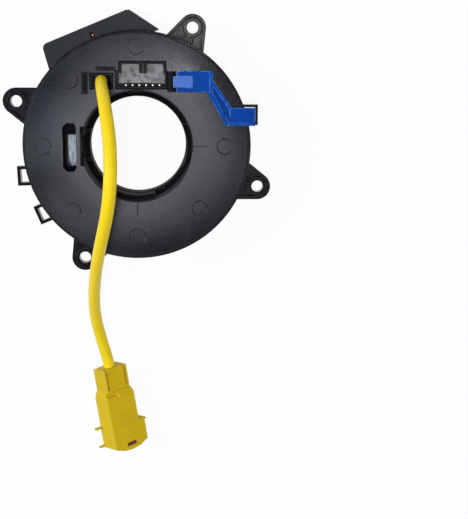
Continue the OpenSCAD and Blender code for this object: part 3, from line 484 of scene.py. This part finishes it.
plastics = {
    "casePlastic": {
        "dark": (0.002, 0.002, 0.003), "light": (0.004, 0.004, 0.0055),
        # The pale edge colour is a painted edge highlight on the glossy black, as well as wear
        "wornAndSheenEdge": (0.22, 0.22, 0.25), "wearAndSheen": 0.6,
        "gloss": (0.08, 0.16), "shine": 0.1, "edgeRadius": 0.45, "dust": 0.05, "grain": 0.04,
    },
    "platePlastic": {
        "dark": (0.008, 0.009, 0.012), "light": (0.013, 0.015, 0.019), "wornAndSheenEdge": (0.1, 0.1, 0.11),
        "gloss": (0.3, 0.4), "shine": 0.3, "edgeRadius": 0.35, "dust": 0.15,
        "grain": 0.3, "grainScale": 0.45,
    },
    "rotorPlastic": {
        # The edge colour is a painted edge highlight as well as wear
        "dark": (0.0045, 0.0052, 0.0095), "light": (0.0095, 0.0105, 0.018), "wornAndSheenEdge": (0.12, 0.12, 0.13),
        "gloss": (0.15, 0.26), "edgeRadius": 0.4, "dust": 0.1,
        "grain": 0.14, "grainScale": 0.42, "wave": 0.035,
        "rings": {
            "start": 30.0, "length": 17.0, "share": 0.4, "crease": 40.0, "soft": 9.0, "depth": 0.13,
        },
        "fleck": {
            "scale": 1100.0, "detail": 2.0, "rough": 0.5, "low": 0.5, "high": 0.72,
            "colour": (0.016, 0.017, 0.022),
        },
        # Marks: the thin dark circles are painted shade in the edges of the round marks
        "marks": {
            "radius": 3.58, "ring": 42.0, "height": 23.8,
            "steps": (-1.2, -1.2, 3.6, 0.7, 1.2, 0.6, 0.2, -0.8),
            "share": 0.95, "colour": deepShade,
        },
        # Painted shade: a black band round the disc's outer edge, where the case's rim beside it lies in
        # shade
        "rim": {"start": 51.0, "full": 51.7, "colour": (0.001, 0.001, 0.0015), "matt": 0.75},
        # Painted shade: black boxes in the bore below the face, in the slot round the clip's post and in
        # two strips beside the lead holder
        "zones": [
            {"low": (-26.5, -30, -5), "high": (30, 26.3, 23.4), "colour": shade, "matt": 0.85},
            {"low": (14.2, 25, 23.9), "high": (18.2, 34.4, 28), "colour": shade, "matt": 0.8},
            {"low": (-25.2, 24, 23.9), "high": (-22.2, 34.1, 26), "colour": shade, "matt": 0.7},
            {"low": (-18.5, 34.5, 23.9), "high": (-9.6, 36.5, 26), "colour": shade, "matt": 0.7},
        ],
    },
    "coverPlastic": {
        "dark": (0.018, 0.02, 0.026), "light": (0.028, 0.031, 0.038), "wornAndSheenEdge": (0.1, 0.1, 0.11),
        "gloss": (0.34, 0.46), "dust": 0.2, "grain": 0.2,
        # Groove: painted shade in the narrow gap round the back's inner disc
        "groove": {"low": 42.5, "high": 43.8, "soft": 0.1, "colour": deepShade},
        # Dials: the lighter tints are painted sheen of the shiny marks
        "dials": {
            "ring": 38.3, "radius": 3.2, "height": 2.25,
            "tintsAndSheens": [
                (0.08, 0.08, 0.085), (0.05, 0.05, 0.07), (0.015, 0.017, 0.03), (0.02, 0.02, 0.021),
                (0.015, 0.015, 0.016), (0.018, 0.017, 0.02), (0.03, 0.032, 0.036), (0.12, 0.1, 0.1),
            ],
        },
    },
    "ringPlastic": {
        "dark": (0.13, 0.13, 0.135), "light": (0.19, 0.19, 0.2), "wornAndSheenEdge": (0.3, 0.3, 0.31), "wearAndSheen": 0.5,
        "gloss": (0.14, 0.24), "shine": 0.12, "dust": 0.03, "grain": 0.04,
        # Painted shade: the grey ring is painted black where it lies inside the bore
        "zones": [
            {"low": (-31, -31, 0.3), "high": (31, 31, 20), "colour": (0.003, 0.003, 0.004), "matt": 0.7},
        ],
    },
    "socketPlastic": {
        "dark": (0.004, 0.004, 0.005), "light": (0.008, 0.008, 0.009),
        "wornAndSheenEdge": (0.06, 0.06, 0.065), "wearAndSheen": 0.5,
        "gloss": (0.08, 0.16), "shine": 0.08, "edgeRadius": 0.25, "dust": 0.2, "grain": 0.05,
        "zones": [{
            "low": (-8.2, 28.9, 20.2), "high": (13.0, 38, 20.6), "colour": (0.32, 0.32, 0.33),
            "speckle": {
                "scale": 420.0, "detail": 4.0, "rough": 0.5, "low": 0.3, "high": 0.62, "share": 0.72,
            },
        }],
    },
    "guidePlastic": {
        "dark": (0.003, 0.003, 0.004), "light": (0.006, 0.006, 0.007), "wornAndSheenEdge": (0.03, 0.03, 0.035),
        "gloss": (0.3, 0.45), "shine": 0.04, "dust": 0.03,
    },
    "insertPlastic": {
        "dark": (0.08, 0.08, 0.085), "light": (0.12, 0.12, 0.125), "wornAndSheenEdge": (0.2, 0.2, 0.2),
        "gloss": (0.4, 0.55), "dust": 0.2,
    },
    "terminalPlastic": {
        "dark": (0.07, 0.013, 0.007), "light": (0.11, 0.022, 0.012), "wornAndSheenEdge": (0.3, 0.1, 0.06),
        "gloss": (0.3, 0.45), "shine": 0.15, "dust": 0.03,
    },
    "plugPlastic": {
        "dark": (0.65, 0.45, 0.003), "light": (0.75, 0.53, 0.006),
        # The pale edge colour is a painted edge highlight as well as wear
        "wornAndSheenEdge": (0.92, 0.78, 0.2), "wearAndSheen": 0.6,
        "gloss": (0.5, 0.6), "shine": 0.2, "edgeRadius": 0.4, "dust": 0.05,
    },
    "lockPlastic": {
        "dark": (0.12, 0.025, 0.012), "light": (0.18, 0.04, 0.02), "wornAndSheenEdge": (0.4, 0.15, 0.08),
        "gloss": (0.35, 0.5), "dust": 0.05,
    },
    "clipPlastic": {
        "dark": (0.0006, 0.045, 0.29), "light": (0.0008, 0.062, 0.38),
        # The pale blue edge colour is a painted edge highlight as well as wear
        "wornAndSheenEdge": (0.14, 0.4, 0.92), "wearAndSheen": 1.0,
        "gloss": (0.26, 0.36), "shine": 0.045, "edgeRadius": 0.8, "dust": 0.04, "grain": 0.12,
        # The lighter blue on the pad's top is a painted highlight
        "zones": [
            {"low": (16.8, 27.1, 29.8), "high": (25.7, 32.3, 30.6), "colour": (0.08, 0.17, 0.55)},
        ],
    },
    "sheetFilm": {
        "dark": (0.3, 0.3, 0.31), "light": (0.4, 0.4, 0.41), "wornAndSheenEdge": (0.5, 0.5, 0.5),
        "gloss": (0.25, 0.4), "dust": 0.1,
    },
    "ribbonFilm": {
        "dark": (0.66, 0.8, 0.97), "light": (0.86, 0.94, 1.0), "wornAndSheenEdge": (0.9, 0.92, 0.95),
        "gloss": (0.12, 0.3), "shine": 0.8, "edgeRadius": 0.05, "dust": 0.0,
        "streaks": {
            "stretch": (1700, 240, 300), "scale": 1.0, "detail": 3.0, "rough": 0.6,
            "low": 0.5, "high": 0.64, "colour": (0.1, 0.15, 0.28),
        },
    },
    "sleevePlastic": {
        "dark": (0.88, 0.64, 0.01), "light": (0.94, 0.7, 0.014),
        "wornAndSheenEdge": (0.95, 0.75, 0.06), "wearAndSheen": 0.0,
        "gloss": (0.3, 0.38), "shine": 0.22, "edgeRadius": 0.0, "dust": 0.0,
        "grain": 0.015, "wave": 0.015,
    },
}
metals = {
    "pinMetal": {"dark": (0.34, 0.33, 0.3), "light": (0.6, 0.58, 0.54), "gloss": (0.18, 0.32)},
    "contactMetal": {"dark": (0.6, 0.42, 0.16), "light": (0.85, 0.65, 0.3), "gloss": (0.2, 0.35)},
}
finishes = {
    "case": "casePlastic", "rear_cover": "coverPlastic", "block_cover": "platePlastic",
    "main_socket_pins": "pinMetal", "small_socket_pins": "pinMetal",
    "case_terminal_block": "terminalPlastic", "rear_slip_sheet": "sheetFilm",
    "front_slip_sheet": "sheetFilm", "ribbon_cable": "ribbonFilm", "rotor": "rotorPlastic",
    "ribbon_guide": "guidePlastic", "rear_ring": "ringPlastic",
    "rotor_terminal_block": "insertPlastic", "rotor_socket": "socketPlastic",
    "rotor_pins": "pinMetal", "lead_holder": "socketPlastic", "plug_body": "plugPlastic",
    "plug_rear_cap": "plugPlastic", "plug_lock": "lockPlastic", "plug_contacts": "contactMetal",
    "shorting_spring": "pinMetal", "lock_clip": "clipPlastic",
}

materials = {name: makePlastic(name, look) for name, look in plastics.items()}
materials.update({name: makeMetal(name, look) for name, look in metals.items()})
for name, finish in finishes.items():
    for holder in nodes[name].material_slots:
        holder.material = materials[finish]
leadSleeve.data.materials.append(materials["sleevePlastic"])
print("materials made")


# Floor: white for the camera and in what mirrors it, and see-through from below
floorSetup = {"height": -8.0, "span": 3000.0, "paint": (0.8, 0.8, 0.8, 1), "rough": 0.9, "white": 0.94}
white = (1, 1, 1, 1)


def mixShaders(tree, share, first, second):
    return addNode(tree, "ShaderNodeMixShader", {0: share, 1: first, 2: second}).outputs[0]


def makeFloor(setup):
    form = bmesh.new()
    bmesh.ops.create_grid(form, x_segments=1, y_segments=1, size=setup["span"] / 2 * mm)
    bmesh.ops.translate(form, verts=form.verts, vec=(0, 0, setup["height"] * mm))
    mesh = bpy.data.meshes.new("floor")
    form.to_mesh(mesh)
    form.free()
    made = addObject("floor", mesh)
    paint, tree, surface = startMaterial("floorPaint")
    feed(tree, surface["Base Color"], setup["paint"])
    feed(tree, surface["Roughness"], setup["rough"])
    ray = addNode(tree, "ShaderNodeLightPath").outputs
    side = addNode(tree, "ShaderNodeNewGeometry").outputs
    seen = mathNode(tree, "MAXIMUM", ray["Is Camera Ray"], ray["Is Glossy Ray"])
    glow = addNode(tree, "ShaderNodeEmission", {"Color": white, "Strength": 1.0}).outputs[0]
    painted = tree.nodes["Principled BSDF"].outputs[0]
    above = mixShaders(tree, multiply(tree, seen, setup["white"]), painted, glow)
    clear = addNode(tree, "ShaderNodeBsdfTransparent").outputs[0]
    below = multiply(tree, side["Backfacing"], ray["Is Camera Ray"])
    feed(tree, tree.nodes["Material Output"].inputs["Surface"], mixShaders(tree, below, above, clear))
    mesh.materials.append(paint)


makeFloor(floorSetup)


# World: dim for the light on the part, white for the camera
worldSetup = {"colour": (0.93, 0.96, 1.0, 1), "strength": 0.12}


def makeWorld(setup):
    world = bpy.data.worlds.new("studio")
    bpy.context.scene.world = world
    world.use_nodes = True
    tree = world.node_tree
    dim = tree.nodes["Background"]
    feed(tree, dim.inputs["Color"], setup["colour"])
    feed(tree, dim.inputs["Strength"], setup["strength"])
    bright = addNode(tree, "ShaderNodeBackground", {"Color": white, "Strength": 1.0})
    seen = addNode(tree, "ShaderNodeLightPath").outputs["Is Camera Ray"]
    shown = mixShaders(tree, seen, dim.outputs[0], bright.outputs[0])
    feed(tree, tree.nodes["World Output"].inputs["Surface"], shown)


makeWorld(worldSetup)


# Lamps in the rotor's frame, in m and W, each turned to its middle and rolled by degrees.
# Those named card are what the disc mirrors.
lamps = {
    "lampLeft": {
        "place": (-0.85, 0.15, 0.62), "size": (0.4, 0.4), "power": 5.4, "colour": (0.93, 0.97, 1.0)},
    "lampBack": {
        "place": (0.1, 0.85, 0.9), "size": (0.4, 0.4), "power": 1.4, "colour": (1.0, 1.0, 1.0)},
    "lampRight": {
        "place": (0.9, -0.25, 0.6), "size": (0.35, 0.35), "power": 0.9, "colour": (1.0, 0.97, 0.93)},
    "lampMiddle": {  # fills the pockets without a hot spot on the disc
        "place": (-0.035, -0.073, 1.0), "size": (0.05, 0.05), "power": 4.2, "colour": (1.0, 1.0, 1.0),
        "mirrored": False},
    "cardMiddle": {
        "place": (-0.022, -0.078, 1.0), "size": (0.275, 0.275), "power": 0.7,
        "colour": (0.88, 0.91, 1.0), "roll": 45},
    "cardTop": {
        "place": (-0.01, 0.15, 1.0), "size": (0.26, 0.09), "power": 0.18, "colour": (0.9, 0.93, 1.0)},
    "cardLeft": {
        "place": (-0.26, -0.06, 1.0), "size": (0.12, 0.3), "power": 0.17, "colour": (0.8, 0.86, 1.0)},
    "cardLowLeft": {
        "place": (-0.2, -0.24, 1.0), "size": (0.14, 0.1), "power": 0.09, "colour": (0.92, 0.95, 1.0)},
    "cardEar": {
        "place": (0.046, 0.082, 1.0), "size": (0.03, 0.02), "power": 0.16, "colour": (1.0, 1.0, 1.0)},
    "cardRight": {
        "place": (0.18, -0.09, 1.0), "size": (0.08, 0.3), "power": 0.11, "colour": (0.95, 0.96, 1.0)},
}


def makeLamp(name, setup):
    data = bpy.data.lights.new(name, "AREA")
    data.shape = "RECTANGLE"
    data.size, data.size_y = setup["size"]
    data.energy = setup["power"]
    data.color = setup["colour"]
    made = addObject(name, data)
    made.visible_glossy = setup.get("mirrored", True)
    away = Vector(setup["place"]).to_track_quat("Z", "Y").to_matrix().to_4x4()
    roll = Matrix.Rotation(math.radians(setup.get("roll", 0)), 4, "Z")
    made.matrix_world = rotorTurn @ Matrix.Translation(setup["place"]) @ away @ roll


for name, setup in lamps.items():
    makeLamp(name, setup)
bpy.context.scene.view_settings.view_transform = "Standard"
print("floor and lamps made")
